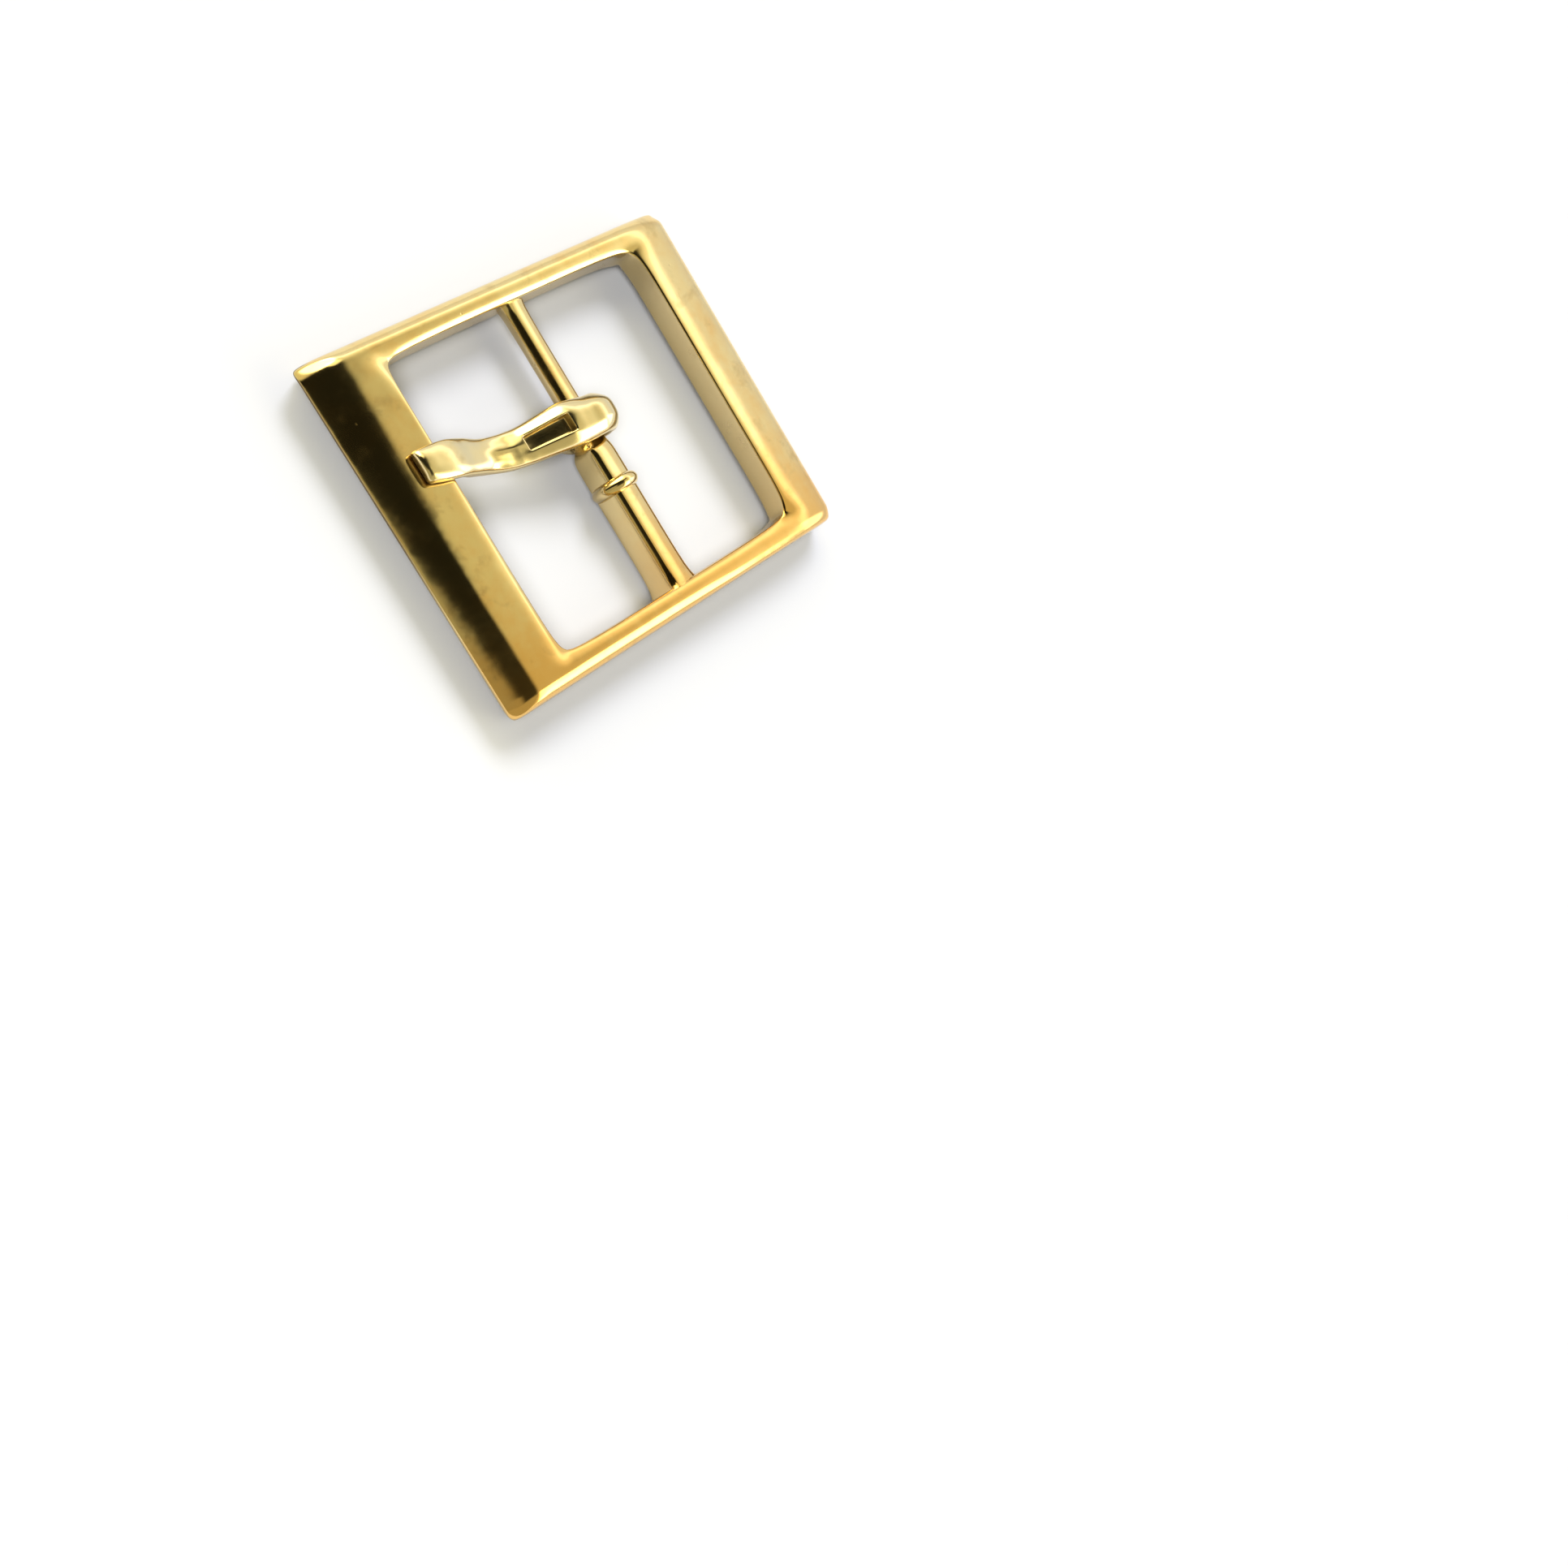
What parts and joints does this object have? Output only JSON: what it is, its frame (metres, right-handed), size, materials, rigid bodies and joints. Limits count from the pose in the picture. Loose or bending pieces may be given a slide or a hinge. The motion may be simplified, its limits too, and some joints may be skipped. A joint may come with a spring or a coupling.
{
  "type": "center bar buckle",
  "caption": "Center bar buckle for a narrow strap: cast frame with a wide and a narrow end bar, a collared middle bar and a loose tongue that lies on the wide bar.",
  "frame": {"origin": "middle of the footprint, on the plane that the two side rods rest on", "axes": "+X from the wide end bar, which the tongue's tip lies on, to the narrow one, along the strap; +Y along the middle bar; +Z out of the buckle's front"},
  "size_m": [0.0242, 0.0188, 0.0034],
  "materials": {
    "frame_gold": "polished light gold plate",
    "tongue_gold": "polished pale gold plate"
  },
  "bodies": {
    "frame": {"frame": "frame_gold"},
    "tongue": {"tongue": "tongue_gold"}
  },
  "joints": [
    {"name": "tongue_hinge", "type": "hinge", "parent": "frame", "child": "tongue", "pos_m": [0.00046, 0.0013, 0.00145], "axis": [0, 1, 0], "range_deg": [0, 160]}
  ]
}
